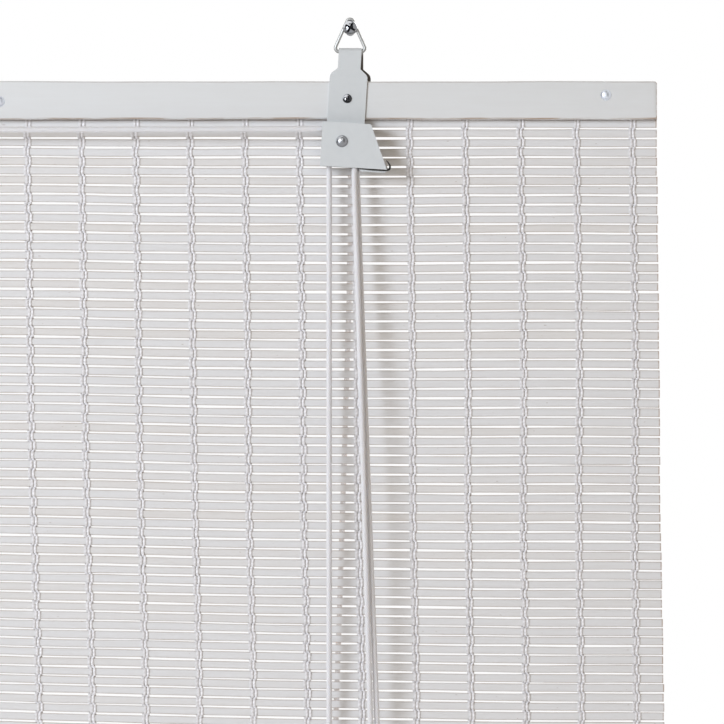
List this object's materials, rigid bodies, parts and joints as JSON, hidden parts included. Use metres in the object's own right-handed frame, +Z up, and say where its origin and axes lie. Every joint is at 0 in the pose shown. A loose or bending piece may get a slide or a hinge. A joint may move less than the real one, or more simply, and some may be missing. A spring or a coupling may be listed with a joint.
{
  "type": "roll-up blind",
  "caption": "White bamboo roll-up blind: slats woven on warp threads, hung by wire rings, with a cord lock, lift cords and its lower part wound in a roll.",
  "frame": {"origin": "on the wall plane, midway between the axes of the two hanging screws", "axes": "+X along the blind to the right as seen from the room, +Y into the wall along the screws, +Z up"},
  "size_m": [0.6, 0.0637, 0.4229],
  "materials": {
    "screw_steel": "bright chrome plate",
    "ring_wire": "bright zinc-plated wire",
    "white_lath": "white paint over bamboo, brown where it is thin",
    "nail_steel": "silver nail heads",
    "white_steel": "satin white paint",
    "rivet_steel": "domed zinc-plated rivet",
    "wheel_nylon": "white nylon",
    "roller_steel": "ridged zinc-plated steel",
    "strap_screw_steel": "dark plated screw",
    "cord": "white braided cord",
    "knob_wood": "white painted turned wood",
    "white_bamboo": "matt white paint over bamboo",
    "warp_thread": "white twisted thread"
  },
  "bodies": {
    "hangers": {"hanging_screw_left": "screw_steel", "hanging_screw_right": "screw_steel", "hanger_ring_left": "ring_wire", "hanger_ring_right": "ring_wire"},
    "blind": {"head_lath_front": "white_lath", "head_lath_back": "white_lath", "head_nails": "nail_steel", "lock_strap": "white_steel", "lock_housing": "white_steel", "lock_axle": "rivet_steel", "lock_strap_screw": "strap_screw_steel", "pulley_strap": "white_steel", "pulley_housing": "white_steel", "pulley_axle": "rivet_steel", "pulley_strap_screw": "strap_screw_steel", "left_cord_knot": "cord", "left_cord_back": "cord", "left_cord_front": "cord", "left_cord_cross": "cord", "left_cord_pull": "cord", "right_cord_knot": "cord", "right_cord_back": "cord", "right_cord_front": "cord", "right_cord_wrap": "cord", "right_cord_pull": "cord", "pull_knob": "knob_wood", "mat_top": "white_bamboo", "mat_fall": "white_bamboo", "warp_threads_top": "warp_thread", "warp_threads_fall": "warp_thread"},
    "roll": {"roll_turns": "white_bamboo", "bottom_lath_front": "white_lath", "bottom_lath_back": "white_lath", "bottom_nails": "nail_steel", "left_cord_sling": "cord", "right_cord_sling": "cord"},
    "lock_wheel": {"lock_wheel": "wheel_nylon"},
    "pulley_wheel": {"pulley_wheel": "wheel_nylon"},
    "lock_roller": {"lock_roller": "roller_steel"}
  },
  "joints": [
    {"name": "blind_swing", "type": "hinge", "parent": "hangers", "child": "blind", "pos_m": [0, -0.0113, -0.0109], "axis": [-1, 0, 0], "range_deg": [0, 45]},
    {"name": "roll_lift", "type": "slide", "parent": "blind", "child": "roll", "axis": [0, 0, 1], "range_m": [0, 0.313], "deforming": ["mat_fall", "warp_threads_fall", "left_cord_front", "right_cord_front", "left_cord_back", "right_cord_back"]},
    {"name": "lock_wheel_turn", "type": "hinge", "parent": "blind", "child": "lock_wheel", "pos_m": [0.15628, -0.0166, -0.05205], "axis": [0, 1, 0], "continuous": true},
    {"name": "pulley_wheel_turn", "type": "hinge", "parent": "blind", "child": "pulley_wheel", "pos_m": [-0.16, -0.0166, -0.05205], "axis": [0, 1, 0], "continuous": true},
    {"name": "lock_roller_slide", "type": "slide", "parent": "blind", "child": "lock_roller", "axis": [-0.3308, 0, 0.9437], "range_m": [0, 0.009]}
  ],
  "couplings": [
    {"joint": "lock_wheel_turn", "follows": "roll_lift", "rad_per_m": 341.88},
    {"joint": "pulley_wheel_turn", "follows": "roll_lift", "rad_per_m": 341.88}
  ]
}
